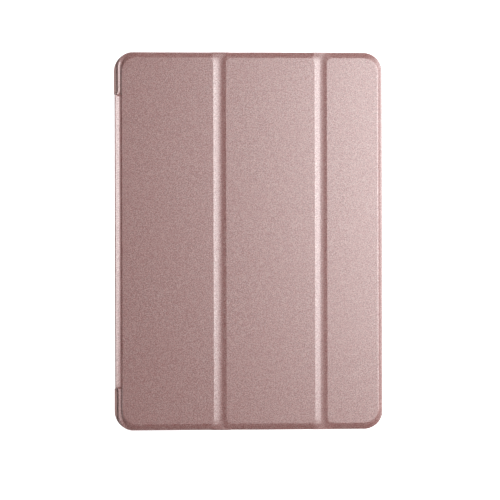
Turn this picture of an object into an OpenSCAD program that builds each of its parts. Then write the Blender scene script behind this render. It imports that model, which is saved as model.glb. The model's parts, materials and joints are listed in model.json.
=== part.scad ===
// Slate tablet computer in a tri-fold folio cover, lying on its back with the cover closed.
// +X is to the right and +Y to the top of the closed front, +Z points out of the front.
// The origin is on the surface that the back rests on, under the centre of the outline.

/* [Tablet] */
// Width of the tablet
tablet_w = 169.6; // [165:0.1:172]
// Height of the tablet
tablet_h = 240; // [225:0.5:245]
// Thickness from the back of the housing to the top of the glass
tablet_t = 7.5; // [7:0.1:8]
// Corner radius of the tablet in plan
tablet_r = 10.8; // [9:0.1:13]
// Width of the part of the screen that lights up
screen_w = 147.8; // [140:0.1:150]
// Height of the part of the screen that lights up
screen_h = 197.1; // [190:0.1:200]
// Thickness of the cover glass
glass_t = 0.7; // [0.5:0.1:0.8]

/* [Back cover] */
// Thickness of the wall round the tablet
wall_t = 1.5; // [1.2:0.1:2]
// Thickness under the tablet
base_t = 1.3; // [1.1:0.1:1.6]
// Half the length of the open side that the spine fills
spine_half = 94.4; // [80:0.1:100]

/* [Folio cover] */
// Width of the first raised panel, next to the spine
panel_1_w = 58.6; // [50:0.1:60]
// Width of the second raised panel
panel_2_w = 57.05; // [50:0.05:60]
// Width of the first crease between the raised panels
crease_1_w = 8.4; // [8:0.05:10]
// Width of the second crease
crease_2_w = 8.1; // [8:0.05:10]
// Flat border beyond the raised panels at the free edge
right_border = 3.1; // [2:0.05:4]
// Flat border beyond the raised panels at the top and the bottom
end_border = 4; // [3:0.1:5]
// Thickness of the leatherette skin
skin_t = 0.6; // [0.5:0.05:0.7]
// Thickness of the stiffening board
board_t = 1.2; // [1:0.1:1.4]
// Thickness of the suede lining
lining_t = 0.5; // [0.4:0.05:0.6]

/* [Controls] */
// Travel of the home button
home_travel = 0.3; // [0.2:0.05:0.35]
// Travel of the buttons on the edges
edge_travel = 0.35; // [0.2:0.05:0.4]
// Radius of the audio jack's bore
jack_r = 1.8; // [1.78:0.01:1.85]
// Length of the audio jack's bore
jack_len = 13.5; // [12:0.5:14]

/* [Hidden] */
$fn = 48;
cut = 0.5;                     // how far a cutter passes a face
gap = 0.1;                     // fit gap between parts that don't move

// Levels above the resting surface
back_z = base_t;
glass_top_z = back_z + tablet_t;
glass_z = glass_top_z - glass_t;
housing_top_z = glass_top_z - 0.35;
rim_z = glass_top_z + 0.15;
lining_z = rim_z + 0.3;
skin_z = lining_z + lining_t;
border_z = skin_z + skin_t;
board_top_z = skin_z + board_t;
top_z = board_top_z + skin_t;
floor_z = back_z + 0.9;
fold_z = (lining_z + border_z) / 2;

// Outlines
shell_w = tablet_w + 2 * (gap + wall_t);
shell_h = tablet_h + 2 * (gap + wall_t);
shell_r = tablet_r + gap + wall_t;
cover_half_h = shell_h / 2 + 0.1;
cover_right = shell_w / 2;
spine_x = 0.5 - shell_w / 2;
panel_3_r = cover_right - right_border;
panel_1_l = spine_x + 4.7;
panel_1_r = panel_1_l + panel_1_w;
panel_2_l = panel_1_r + crease_1_w;
panel_2_r = panel_2_l + panel_2_w;
panel_3_l = panel_2_r + crease_2_w;
raised_half_h = cover_half_h - end_border;
corner_left_x = spine_x + 1.2;
spine_panel_x = spine_x + 1.6;
inner_corner = 3.5;
outer_corner = 9;
left_corner = 9.8;
right_corner = 12;

// Folds
fold_r = 0.55;
front_fold_x = spine_x + 0.7;
back_fold_x = spine_x + 0.65;
back_fold_z = 0.65;
back_fold_r = 0.5;
crease_half = 2.65;
fold_room = 0.8;
crease_1_x = (panel_1_r + panel_2_l) / 2;
crease_2_x = (panel_2_r + panel_3_l) / 2;
crease_1_end = crease_1_x - crease_half - fold_room;
crease_1_start = crease_1_x + crease_half + fold_room;
crease_2_end = crease_2_x - crease_half - fold_room;
crease_2_start = crease_2_x + crease_half + fold_room;
spine_skin_t = 0.5;
spine_lining_t = 0.35;
strip_half = spine_half - 0.4;
flap_t = 0.55;
flap_w = 18;

// Places of the controls and openings
home_y = 11 - tablet_h / 2;
home_w = 14;
home_d = 5;
power_x = 62;
volume_up_y = 84;
volume_down_y = 71;
edge_button_len = 10;
edge_button_t = 2.6;
edge_z = back_z + 4.1;
camera_x = 70;
camera_y = 106;
jack_x = -68;
jack_body_r = 2.5;
speaker_x = 46;
speaker_len = 26;
port_z = back_z + 3.6;
side_wall = 1.4;
magnet_places = [-75, -40, -5, 35];
board_screw_places = [[56, -63], [76, -63], [56, 81], [76, 81], [56, 10], [76, 10]];
inner_half_w = tablet_w / 2 - side_wall;
inner_half_h = tablet_h / 2 - side_wall;

rose = [0.76, 0.58, 0.56];
rose_dark = [0.62, 0.44, 0.42];
suede = [0.66, 0.58, 0.57];
silver = [0.78, 0.79, 0.80];
black = [0.05, 0.05, 0.06];

// ---- Shapes that repeat ----

// Rectangle with round corners
module round_rect(w, h, r) {
    square([w, h - 2 * r], center = true);
    square([w - 2 * r, h], center = true);
    for (x = [-1, 1], y = [-1, 1])
        translate([x * (w / 2 - r), y * (h / 2 - r)]) circle(r);
}

// Rectangle from x0 to x1 with its own radius at each side's corners, 0 for square ones
module panel_outline(x0, x1, half_h, r0, r1) {
    translate([x0 + r0, -half_h]) square([x1 - x0 - r0 - r1, 2 * half_h]);
    if (r0 > 0) {
        translate([x0, -half_h + r0]) square([r0 + 0.01, 2 * (half_h - r0)]);
        for (y = [-1, 1]) translate([x0 + r0, y * (half_h - r0)]) circle(r0);
    }
    if (r1 > 0) {
        translate([x1 - r1 - 0.01, -half_h + r1]) square([r1 + 0.01, 2 * (half_h - r1)]);
        for (y = [-1, 1]) translate([x1 - r1, y * (half_h - r1)]) circle(r1);
    }
}

// Slot with round ends, long along X
module pill(len, wid) {
    square([len - wid, wid], center = true);
    for (x = [-1, 1]) translate([x * (len - wid) / 2, 0]) circle(wid / 2);
}

module plate(z0, z1) {
    translate([0, 0, z0]) linear_extrude(z1 - z0) children();
}

module box(x0, x1, y0, y1, z0, z1) {
    translate([x0, y0, z0]) cube([x1 - x0, y1 - y0, z1 - z0]);
}

// The lower edge's outline, from the flat at [reach, z0] up to the side
function edge_arc(reach, z0, edge) =
    [for (i = [0:5]) [reach - edge + edge * sin(18 * i), z0 + edge - edge * cos(18 * i)]];

// Slab with round corners in plan, and its lower edge rounded all the way round
module soft_slab(w, h, r, z0, z1, edge) {
    for (x = [-1, 1], y = [-1, 1])
        translate([x * (w / 2 - r), y * (h / 2 - r), 0])
            rotate_extrude() polygon(concat([[0, z0]], edge_arc(r, z0, edge), [[r, z1], [0, z1]]));
    bar_section(w / 2, h - 2 * r, z0, z1, edge);
    rotate([0, 0, 90]) bar_section(h / 2, w - 2 * r, z0, z1, edge);
}

module bar_section(half, length, z0, z1, edge) {
    side = concat(edge_arc(half, z0, edge), [[half, z1]]);
    mirrored = [for (i = [len(side) - 1:-1:0]) [-side[i][0], side[i][1]]];
    rotate([90, 0, 0]) translate([0, 0, -length / 2])
        linear_extrude(length) polygon(concat(side, mirrored));
}

// Upright pill through the bottom or top edge: long along X, cut along Y
module edge_slot(x, z, len, wid, y0, y1) {
    translate([x, y1, z]) rotate([90, 0, 0]) linear_extrude(y1 - y0) pill(len, wid);
}

// Upright pill through the right edge: long along Y, cut along X
module side_slot(y, z, len, wid, x0, x1) {
    translate([x0, y, z]) rotate([90, 0, 90]) linear_extrude(x1 - x0) pill(len, wid);
}

// ---- Back cover ----

module back_shell() {
    color(rose_dark) difference() {
        soft_slab(shell_w, shell_h, shell_r, 0, rim_z, 4.2);
        soft_slab(tablet_w + 2 * gap, tablet_h + 2 * gap, tablet_r + gap, back_z,
            housing_top_z + gap, 3.6);
        plate(housing_top_z, rim_z + cut)
            round_rect(tablet_w - 0.9, tablet_h - 0.9, tablet_r - 0.45);
        shell_openings();
        // Open side for the spine, and the bed that its flap is glued in
        box(-shell_w, spine_x + 1.4, -spine_half, spine_half, -cut, rim_z + cut);
        box(-shell_w / 2 - cut, back_fold_x + 1.2, -spine_half, spine_half, 4.2, rim_z + cut);
        box(-shell_w, spine_x + 1.6 + flap_w + 0.2, -spine_half, spine_half, -cut, flap_t);
    }
}

module shell_openings() {
    translate([camera_x, camera_y, -cut]) cylinder(r = 6.5, h = base_t + 2 * cut);
    edge_slot(0, port_z, 15, 6, -shell_h, 3 - tablet_h / 2);
    for (x = [-speaker_x, speaker_x])
        edge_slot(x, port_z, speaker_len + 6, 4.6, -shell_h, 3 - tablet_h / 2);
    edge_slot(jack_x, port_z, 7.2, 6.6, tablet_h / 2 - 3, shell_h);
    edge_slot(power_x, edge_z, 17, 5.6, tablet_h / 2 - 3, shell_h);
    side_slot((volume_up_y + volume_down_y) / 2, edge_z, 30, 5.6, tablet_w / 2 - 3, shell_w);
}

// Strip of the leatherette glued to the back, where the cover is held
module spine_flap() {
    color(rose) box(spine_x + 1.6, spine_x + 1.6 + flap_w, -strip_half, strip_half, 0, flap_t);
}

// ---- Tablet ----

module rear_housing() {
    color(silver) difference() {
        soft_slab(tablet_w, tablet_h, tablet_r, back_z, housing_top_z, 3.5);
        soft_slab(2 * inner_half_w, 2 * inner_half_h, tablet_r - side_wall, floor_z,
            housing_top_z + cut, 2.6);
        plate(glass_z, housing_top_z + cut)
            round_rect(tablet_w - 1.1, tablet_h - 1.1, tablet_r - 0.55);
        translate([camera_x, camera_y, back_z - cut]) cylinder(r = 3.6, h = 2);
        edge_slot(0, port_z, 9.1, 3.4, -tablet_h / 2 - cut, 1 - inner_half_h);
        for (x = [-speaker_x, speaker_x])
            edge_slot(x, port_z, speaker_len, 2.2, -tablet_h / 2 - cut, 0.5 - inner_half_h);
        translate([jack_x, inner_half_h - cut, port_z]) rotate([-90, 0, 0])
            cylinder(r = jack_r, h = side_wall + 2 * cut);
        translate([jack_x, inner_half_h - 3, port_z]) rotate([-90, 0, 0])
            cylinder(r = jack_body_r + gap, h = 3);
        edge_slot(power_x, edge_z, edge_button_len + 0.3, edge_button_t + 0.3,
            inner_half_h - cut, tablet_h / 2 + cut);
        for (y = [volume_up_y, volume_down_y])
            side_slot(y, edge_z, edge_button_len + 0.3, edge_button_t + 0.3,
                inner_half_w - cut, tablet_w / 2 + cut);
    }
}

module cover_glass() {
    color(black) difference() {
        plate(glass_z, glass_top_z) round_rect(tablet_w - 1.6, tablet_h - 1.6, tablet_r - 0.8);
        translate([0, home_y, 0]) plate(glass_z - cut, glass_top_z + cut)
            pill(home_w + 0.4, home_d + 0.4);
    }
}

module glass_gasket() {
    color([0.1, 0.1, 0.1]) difference() {
        plate(glass_z, housing_top_z) round_rect(tablet_w - 1.1, tablet_h - 1.1, tablet_r - 0.55);
        plate(glass_z - cut, housing_top_z + cut)
            round_rect(tablet_w - 1.6, tablet_h - 1.6, tablet_r - 0.8);
    }
}

module display_panel() {
    color([0.08, 0.09, 0.11]) plate(glass_z - 1.1, glass_z)
        square([screen_w + 3, screen_h + 4], center = true);
}

module backlight_unit() {
    color([0.9, 0.9, 0.88]) difference() {
        plate(glass_z - 2.5, glass_z - 1.1) square([screen_w + 4, screen_h + 5], center = true);
        // Room under the frame for the display's ribbon
        box(60, 74, -(screen_h + 5) / 2 - cut, 3 - (screen_h + 5) / 2, glass_z - 3, glass_z - 1.1);
    }
}

// One pouch cell with its folded sides
module battery_cell(x0, x1) {
    color([0.2, 0.2, 0.22]) {
        box(x0 + 0.8, x1 - 0.8, -90, 84, floor_z, floor_z + 2.7);
        box(x0, x0 + 0.8, -88, 82, floor_z, floor_z + 1.2);
        box(x1 - 0.8, x1, -88, 82, floor_z, floor_z + 1.2);
        box(x0 + 22, x1 - 22, 84, 86, floor_z, floor_z + 0.5);
    }
}

module battery_cell_left() { battery_cell(-76, -14); }

module battery_cell_right() { battery_cell(-12, 50); }

// Protection board along the tops of both cells
module battery_board() {
    color([0.1, 0.3, 0.15]) {
        box(-70, 60, 86, 91, floor_z, floor_z + 0.8);
        box(60, 66, 80, 91, floor_z, floor_z + 0.6);
        for (x = [-45, 19]) box(x - 6, x + 6, 86.5, 90.5, floor_z + 0.8, floor_z + 2);
    }
}

module logic_board() {
    color([0.05, 0.25, 0.12]) difference() {
        box(54, 78, -66, 84, floor_z + 0.6, floor_z + 1.4);
        for (p = board_screw_places) translate([p[0], p[1], floor_z]) cylinder(r = 1, h = 3);
    }
}

module board_chips() {
    color([0.12, 0.12, 0.13]) for (y = [-48, -25, 36, 56])
        box(60, 72, y - 6, y + 6, floor_z + 1.4, floor_z + 2.3);
}

// Pressed lids over two groups of chips
module board_shields() {
    color([0.7, 0.7, 0.72]) for (y = [-36.5, 46]) difference() {
        box(58, 74, y - 21, y + 21, floor_z + 1.4, floor_z + 2.9);
        box(58.3, 73.7, y - 20.7, y + 20.7, floor_z + 1.4 - cut, floor_z + 2.6);
    }
}

module board_screws() {
    color([0.6, 0.6, 0.62]) for (p = board_screw_places) translate([p[0], p[1], floor_z]) {
        cylinder(r = 0.8, h = 1.4);
        translate([0, 0, 1.4]) cylinder(r = 1.5, h = 0.6);
    }
}

module rear_camera() {
    color(black) {
        box(camera_x - 5, camera_x + 5, camera_y - 5, camera_y + 5, floor_z + 0.1, floor_z + 3.4);
        translate([camera_x, camera_y, floor_z + 3.4]) cylinder(r = 3.4, h = 0.8);
    }
}

module camera_lens_ring() {
    color(silver) translate([camera_x, camera_y, back_z]) difference() {
        cylinder(r = 3.55, h = 0.85);
        translate([0, 0, -cut]) cylinder(r = 2.6, h = 2);
    }
}

module camera_lens_glass() {
    color(black) translate([camera_x, camera_y, back_z + 0.25]) cylinder(r = 2.55, h = 0.6);
}

module front_camera() {
    color(black) {
        box(-3.2, 3.2, 106.8, 113.2, glass_z - 3.2, glass_z - 0.7);
        translate([0, 110, glass_z - 0.7]) cylinder(r = 2.4, h = 0.65);
    }
}

// Sealed speaker box, with its front against the slot in the edge
module speaker(x) {
    color([0.15, 0.15, 0.16]) difference() {
        box(x - 15, x + 15, 0.7 - inner_half_h, 13 - inner_half_h, floor_z + 0.9, floor_z + 4.6);
        box(x - 12.5, x + 12.5, -inner_half_h, 3 - inner_half_h, floor_z + 1.7, floor_z + 3.7);
    }
}

module speaker_left() { speaker(-speaker_x); }

module speaker_right() { speaker(speaker_x); }

module speaker_grilles() {
    color([0.2, 0.2, 0.2]) for (x = [-speaker_x, speaker_x]) difference() {
        edge_slot(x, port_z, speaker_len - 0.1, 2.1, 0.5 - tablet_h / 2, 1 - tablet_h / 2);
        for (i = [-9:9], z = [-0.45, 0.45])
            translate([x + 1.2 * i, 0, port_z + z]) rotate([90, 0, 0])
                cylinder(r = 0.28, h = tablet_h);
    }
}

module charge_port() {
    color([0.6, 0.6, 0.62]) difference() {
        edge_slot(0, port_z, 9, 3.3, 0.3 - tablet_h / 2, 7.8 - tablet_h / 2);
        edge_slot(0, port_z, 8.4, 2.6, -tablet_h / 2, 7.1 - tablet_h / 2);
    }
}

module charge_port_tongue() {
    color(black) box(-3.35, 3.35, 1 - tablet_h / 2, 7.1 - tablet_h / 2, port_z - 0.35, port_z + 0.35);
}

// Ribbon from the charging port, over the floor, to the logic board
module port_flex() {
    color([0.75, 0.5, 0.2]) {
        box(-3, 3, 7.8 - tablet_h / 2, -98, floor_z, floor_z + 0.2);
        box(-3, 66, -98, -93, floor_z, floor_z + 0.2);
        box(60, 66, -93, -60, floor_z, floor_z + 0.2);
        box(60, 66, -65, -61, floor_z + 0.2, floor_z + 0.6);
    }
}

module audio_jack() {
    color([0.25, 0.25, 0.27]) translate([jack_x, inner_half_h, port_z]) rotate([90, 0, 0])
        difference() {
            union() {
                cylinder(r = jack_body_r, h = jack_len + 0.8);
                translate([-3, -2.6, 2.6]) cube([6, 2.6, jack_len - 2.6]);
            }
            translate([0, 0, -cut]) cylinder(r = jack_r, h = jack_len + cut);
        }
}

// Ribbons fold down from the screen's lower edge to the logic board
module screen_ribbon(x0, x1) {
    y = -(screen_h + 5) / 2;
    color([0.75, 0.5, 0.2]) {
        box(x0, x1, y - 1.2, y + 1.6, glass_z - 1.25, glass_z - 1.1);
        box(x0, x1, y - 1.35, y - 1.2, floor_z + 1.4, glass_z - 1.1);
        box(x0, x1, y - 1.2, -59, floor_z + 1.4, floor_z + 1.55);
    }
}

module display_flex() { screen_ribbon(67, 73); }

module touch_flex() { screen_ribbon(61, 65); }

module antenna(x) {
    color([0.8, 0.6, 0.3]) box(x - 9, x + 9, 110, 116, glass_z - 2.2, glass_z - 1.9);
}

module antenna_left() { antenna(-40); }

module antenna_right() { antenna(35); }

module housing_magnets() {
    color([0.5, 0.5, 0.52]) for (y = magnet_places, x = [-1, 1])
        box(x * 80.4 - 1.6, x * 80.4 + 1.6, y - 9, y + 9, glass_z - 3, glass_z - 0.8);
}

module hall_sensor() {
    color(black) box(54, 57, -72, -70, floor_z, floor_z + 1);
}

// ---- Buttons ----

module home_button() {
    color([0.09, 0.09, 0.1]) translate([0, home_y, 0]) {
        plate(glass_z - 0.9, glass_top_z - 0.05) pill(home_w, home_d);
        plate(glass_z - 2, glass_z - 0.9) pill(5, 3);
    }
}

module home_button_bracket() {
    color([0.6, 0.6, 0.62]) translate([0, home_y, 0]) {
        difference() {
            plate(glass_z - 3.6, glass_z - 3) square([30, 6], center = true);
            plate(glass_z - 4, glass_z - 2) for (x = [-12.5, 12.5]) translate([x, 0]) circle(0.8);
        }
        for (x = [-9.5, 9.5]) plate(glass_z - 3, glass_z) translate([x, 0]) square([1, 6], center = true);
    }
}

module home_button_switch() {
    color([0.3, 0.3, 0.32]) translate([0, home_y, 0])
        plate(glass_z - 3, glass_z - 2 - home_travel - 0.02) square([6, 4.4], center = true);
}

// Pill-shaped key with a lip inside the wall, and a stud that meets its switch. It points along +Y
module edge_button() {
    translate([0, 0.5, 0]) rotate([90, 0, 0]) linear_extrude(side_wall + 0.8)
        pill(edge_button_len, edge_button_t);
    translate([-6, -side_wall - 0.6, -1.5]) cube([12, 0.3, 3]);
    translate([-0.8, -side_wall - 1.1, -0.8]) cube([1.6, 0.5, 1.6]);
}

module edge_switch() {
    translate([-2.2, -side_wall - 2.9, -1.3]) cube([4.4, 1.78 - edge_travel, 2.6]);
}

module at_power() { translate([power_x, tablet_h / 2, edge_z]) children(); }

module at_volume(y) { translate([tablet_w / 2, y, edge_z]) rotate([0, 0, -90]) children(); }

module power_button() { color(silver) at_power() edge_button(); }

module power_switch() { color([0.3, 0.3, 0.32]) at_power() edge_switch(); }

module volume_up_button() { color(silver) at_volume(volume_up_y) edge_button(); }

module volume_down_button() { color(silver) at_volume(volume_down_y) edge_button(); }

module volume_switches() {
    color([0.3, 0.3, 0.32]) for (y = [volume_up_y, volume_down_y]) at_volume(y) edge_switch();
}

// ---- Spine ----

module spine_skin() {
    color(rose) box(spine_x, spine_x + spine_skin_t, -strip_half, strip_half, 1.4, 9);
}

module spine_lining() {
    color(suede) box(spine_x + spine_skin_t, spine_x + spine_skin_t + spine_lining_t,
        -strip_half, strip_half, 1.4, 9);
}

// A fold is a round bead on the line that the skin bends about
module bead(x, z, r) {
    translate([x, strip_half, z]) rotate([90, 0, 0]) cylinder(r = r, h = 2 * strip_half);
}

module spine_front_fold() {
    color(rose) {
        bead(front_fold_x, fold_z, fold_r);
        box(spine_x + 0.2, spine_x + 0.7, -strip_half, strip_half, 9, fold_z);
    }
}

module spine_back_fold() {
    color(rose) {
        bead(back_fold_x, back_fold_z, back_fold_r);
        box(spine_x + 0.2, spine_x + 0.7, -strip_half, strip_half, back_fold_z, 1.4);
    }
}

// ---- Panels of the folio ----

// What a panel covers at the level of the border, from x0 to x1
module border_outline(x0, x1, r0, r1) { panel_outline(x0, x1, cover_half_h, r0, r1); }

module panel_skin(x0, x1, r0, r1, raised_l, raised_r, raised_r0, raised_r1) {
    color(rose) difference() {
        union() {
            plate(skin_z, border_z) border_outline(x0, x1, r0, r1);
            plate(border_z, top_z) panel_outline(raised_l, raised_r, raised_half_h, raised_r0, raised_r1);
        }
        plate(skin_z - cut, board_top_z) board_outline(raised_l, raised_r, raised_r0, raised_r1);
    }
}

module board_outline(raised_l, raised_r, raised_r0, raised_r1) {
    panel_outline(raised_l + skin_t, raised_r - skin_t, raised_half_h - skin_t,
        raised_r0 - skin_t, raised_r1 - skin_t);
}

module panel_board(raised_l, raised_r, raised_r0, raised_r1) {
    color([0.85, 0.85, 0.83]) difference() {
        plate(skin_z, board_top_z) board_outline(raised_l, raised_r, raised_r0, raised_r1);
        plate(skin_z - cut, board_top_z + cut) children();
    }
}

module panel_lining(x0, x1, r0, r1) {
    color(suede) plate(lining_z, skin_z) border_outline(x0, x1, r0, r1);
}

// The first panel's border is cut back between its corners, where the spine folds over to it
module panel_1_border() {
    difference() {
        border_outline(corner_left_x, crease_1_end, left_corner, 0);
        translate([corner_left_x - cut, -spine_half])
            square([spine_panel_x - corner_left_x + cut, 2 * spine_half]);
    }
}

module panel_1_skin() {
    color(rose) difference() {
        union() {
            plate(skin_z, border_z) panel_1_border();
            plate(border_z, top_z)
                panel_outline(panel_1_l, panel_1_r, raised_half_h, outer_corner, inner_corner);
        }
        plate(skin_z - cut, board_top_z)
            board_outline(panel_1_l, panel_1_r, outer_corner, inner_corner);
    }
}

// Outline of the thin steel plate that the magnets hold when the cover stands up
module stand_plate_outline() { translate([-70, 0]) square([10, 150], center = true); }

module panel_1_board() {
    panel_board(panel_1_l, panel_1_r, outer_corner, inner_corner) stand_plate_outline();
}

module panel_1_lining() { color(suede) plate(lining_z, skin_z) panel_1_border(); }

module stand_plate() { color([0.55, 0.55, 0.57]) plate(skin_z, board_top_z) stand_plate_outline(); }

// Flexible web of a crease, with a bead at each of the two lines that it bends about
module crease_web(x) {
    color(rose) {
        for (side = [-1, 1]) translate([x + side * crease_half, cover_half_h, fold_z])
            rotate([90, 0, 0]) cylinder(r = fold_r, h = 2 * cover_half_h);
        box(x - crease_half, x + crease_half, -cover_half_h, cover_half_h,
            fold_z - fold_r, fold_z + fold_r);
    }
}

module crease_1_web() { crease_web(crease_1_x); }

module panel_2_skin() {
    panel_skin(crease_1_start, crease_2_end, 0, 0, panel_2_l, panel_2_r, inner_corner, inner_corner);
}

module panel_2_board() { panel_board(panel_2_l, panel_2_r, inner_corner, inner_corner); }

module panel_2_lining() { panel_lining(crease_1_start, crease_2_end, 0, 0); }

module crease_2_web() { crease_web(crease_2_x); }

module panel_3_skin() {
    panel_skin(crease_2_start, cover_right, 0, right_corner, panel_3_l, panel_3_r,
        inner_corner, outer_corner);
}

// Outlines of the bar magnets at the free edge
module magnet_outlines() {
    for (y = magnet_places) translate([78.5, y]) square([5, 18], center = true);
}

module panel_3_board() {
    panel_board(panel_3_l, panel_3_r, inner_corner, outer_corner) magnet_outlines();
}

module panel_3_lining() { panel_lining(crease_2_start, cover_right, 0, right_corner); }

module closing_magnets() { color([0.55, 0.55, 0.57]) plate(skin_z, board_top_z) magnet_outlines(); }

back_shell();
rear_housing();
cover_glass();
glass_gasket();
display_panel();
backlight_unit();
battery_cell_left();
battery_cell_right();
battery_board();
logic_board();
board_shields();
board_chips();
board_screws();
rear_camera();
camera_lens_ring();
camera_lens_glass();
front_camera();
speaker_left();
speaker_right();
speaker_grilles();
charge_port();
charge_port_tongue();
port_flex();
audio_jack();
display_flex();
touch_flex();
antenna_left();
antenna_right();
housing_magnets();
hall_sensor();
home_button();
home_button_bracket();
home_button_switch();
power_button();
power_switch();
volume_up_button();
volume_down_button();
volume_switches();
spine_flap();
spine_skin();
spine_lining();
spine_front_fold();
spine_back_fold();
panel_1_skin();
panel_1_board();
panel_1_lining();
stand_plate();
crease_1_web();
panel_2_skin();
panel_2_board();
panel_2_lining();
crease_2_web();
panel_3_skin();
panel_3_board();
panel_3_lining();
closing_magnets();
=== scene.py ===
"""A tablet computer in a rose gold tri-fold folio, seen from straight above with the folio closed."""

import json
import math

import bmesh
import bpy
import numpy as np
from mathutils import Matrix, Vector


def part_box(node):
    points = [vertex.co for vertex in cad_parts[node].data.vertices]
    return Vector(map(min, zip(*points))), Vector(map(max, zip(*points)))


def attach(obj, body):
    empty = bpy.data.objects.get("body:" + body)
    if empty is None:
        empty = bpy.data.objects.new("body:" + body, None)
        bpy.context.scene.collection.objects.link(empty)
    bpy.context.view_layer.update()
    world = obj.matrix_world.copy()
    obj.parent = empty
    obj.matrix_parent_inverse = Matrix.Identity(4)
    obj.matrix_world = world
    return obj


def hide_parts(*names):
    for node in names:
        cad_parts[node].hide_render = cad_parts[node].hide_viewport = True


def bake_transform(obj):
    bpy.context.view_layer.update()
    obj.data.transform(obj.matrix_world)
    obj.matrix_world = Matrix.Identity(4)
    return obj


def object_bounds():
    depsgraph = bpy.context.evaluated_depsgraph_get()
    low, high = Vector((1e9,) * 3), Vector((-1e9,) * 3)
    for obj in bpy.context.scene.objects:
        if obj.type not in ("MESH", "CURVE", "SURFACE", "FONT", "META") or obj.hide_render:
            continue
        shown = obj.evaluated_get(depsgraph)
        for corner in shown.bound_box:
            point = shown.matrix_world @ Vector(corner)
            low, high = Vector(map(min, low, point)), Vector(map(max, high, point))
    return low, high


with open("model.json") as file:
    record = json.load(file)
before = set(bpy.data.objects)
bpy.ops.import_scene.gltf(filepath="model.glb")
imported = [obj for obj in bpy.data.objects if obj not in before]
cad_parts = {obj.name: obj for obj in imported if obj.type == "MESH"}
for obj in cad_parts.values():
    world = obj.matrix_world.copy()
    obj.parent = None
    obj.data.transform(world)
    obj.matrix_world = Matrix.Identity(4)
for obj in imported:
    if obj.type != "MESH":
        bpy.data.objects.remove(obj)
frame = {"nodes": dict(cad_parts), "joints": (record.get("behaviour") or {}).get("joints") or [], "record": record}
cad_low, cad_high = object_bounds()

MM = 0.001
SMOOTH_ANGLE = math.radians(38)
joint_at = {j["name"]: Vector(j["pos_m"]) for j in frame["joints"] if "pos_m" in j}

# ---- Places, all taken from the frame ----

LINING_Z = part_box("panel_1_lining")[0].z
SKIN_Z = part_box("panel_1_lining")[1].z
BORDER_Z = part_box("crease_1_web")[1].z
BOARD_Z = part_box("panel_1_board")[1].z
TOP_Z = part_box("panel_1_skin")[1].z
SKIN_T = TOP_Z - BOARD_Z
COVER_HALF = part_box("panel_2_skin")[1].y
COVER_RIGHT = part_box("panel_3_skin")[1].x
# The skin is drawn in over the ends of the boards
END_PULL = 0.3 * MM
RAISED_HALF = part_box("panel_1_board")[1].y + SKIN_T - END_PULL
# Left and right edges of the three raised panels
RAISED = [
    (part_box(f"panel_{n}_board")[0].x - SKIN_T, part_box(f"panel_{n}_board")[1].x + SKIN_T)
    for n in (1, 2, 3)
]
SPINE_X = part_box("spine_skin")[0].x
SPINE_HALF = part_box("spine_skin")[1].y
FOLD_CUT_X = SPINE_X + 1.6 * MM
CORNER_LEFT_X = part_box("panel_1_skin")[0].x + 0.4 * MM
CREASE_X = [(RAISED[i][1] + RAISED[i + 1][0]) / 2 for i in (0, 1)]

LEFT_CORNER = 9.8 * MM
RIGHT_CORNER = 12 * MM
INNER_CORNER = 3.5 * MM
OUTER_CORNER = 9 * MM
CUT_INSET = 0.3 * MM
# The panels lie a little nearer to the top edge than to the bottom one
TOP_SHIFT = 0.5 * MM
# Heights of the cover beside the panels: in the groove at the spine, in the creases, and at both ends
GROOVE_Z = TOP_Z - 0.42 * MM
CREASE_Z = TOP_Z - 0.58 * MM
END_Z = SKIN_Z + 0.05 * MM
# The groove's floor rises to the height of the border from here on, over this width
GROOVE_END_X = -79 * MM
GROOVE_FADE_W = 8 * MM
# The cover's left border rises from the groove to a crest over the spine
CREST_SLOPE = 0.25
CREST_W = 3.3 * MM
# Beyond the spine's ends the border is lower and narrower, and its edge rounder
CORNER_CREST_W = 2.0 * MM
CORNER_DROP = 0.75 * MM
EDGE_ROLL = 0.45 * MM
CORNER_ROLL = 0.95 * MM


# ---- The shape of the cover's front ----


def smooth(t):
    """0 before 0, 1 after 1, and smooth between."""
    t = np.clip(t, 0, 1)
    return t * t * (3 - 2 * t)


def edge_profile(*slopes):
    """A function that falls from 1 to 0, given how steep it is at shares of its width."""
    at = np.linspace(slopes[0][0], slopes[-1][0], 400)
    steep = np.interp(at, [s[0] for s in slopes], [s[1] for s in slopes])
    fallen = np.concatenate([[0], np.cumsum((steep[1:] + steep[:-1]) / 2 * np.diff(at))])
    return lambda t: 1 - np.interp(t, at, fallen / fallen[-1])


# Down into the first crease: steepest beside the panel, then easing out; and evenly up out of it
FALL_1 = edge_profile((-0.04, 0), (0.04, 1.05), (0.2, 1), (0.6, 0.7), (0.87, 0.23), (1, 0))
RISE_1 = edge_profile((0.03, 0), (0.11, 1), (0.6, 1), (0.88, 0.3), (1, 0))
# Into the second crease, with the board's edge showing as a fine line beside the panel
FALL_2 = edge_profile((-0.04, 0), (0.03, 1.1), (0.13, 1.1), (0.22, 0.75), (0.6, 0.7), (0.85, 0.4), (1, 0))
RISE_2 = edge_profile((0.03, 0), (0.1, 1), (0.42, 1), (0.6, 0.5), (0.85, 0.2), (1, 0))
# Over the right border: the same fine line, then a steep side and a flatter rim
LINED_BORDER = edge_profile(
    (-0.05, 0), (0.03, 0.45), (0.12, 0.45), (0.22, 1.35), (0.6, 1.35), (0.8, 0.7), (1, 0.7)
)
# Evenly down to the top and bottom edges, and steeply into the groove at the spine
END_EDGE = edge_profile((-0.03, 0), (0.05, 1), (1, 1))
GROOVE_EDGE = edge_profile((-0.1, 0), (0.05, 1), (0.8, 1), (0.98, 0), (1, 0))
CREASE_HALF = (RAISED[1][0] - RAISED[0][1]) / 2
# How far to the right of its middle each crease is deepest
DEEPEST = (0.35 * MM, -0.5 * MM)
END_W = COVER_HALF - RAISED_HALF
RIGHT_W = COVER_RIGHT - RAISED[2][1]
GROOVE_W = 0.9 * MM
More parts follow.
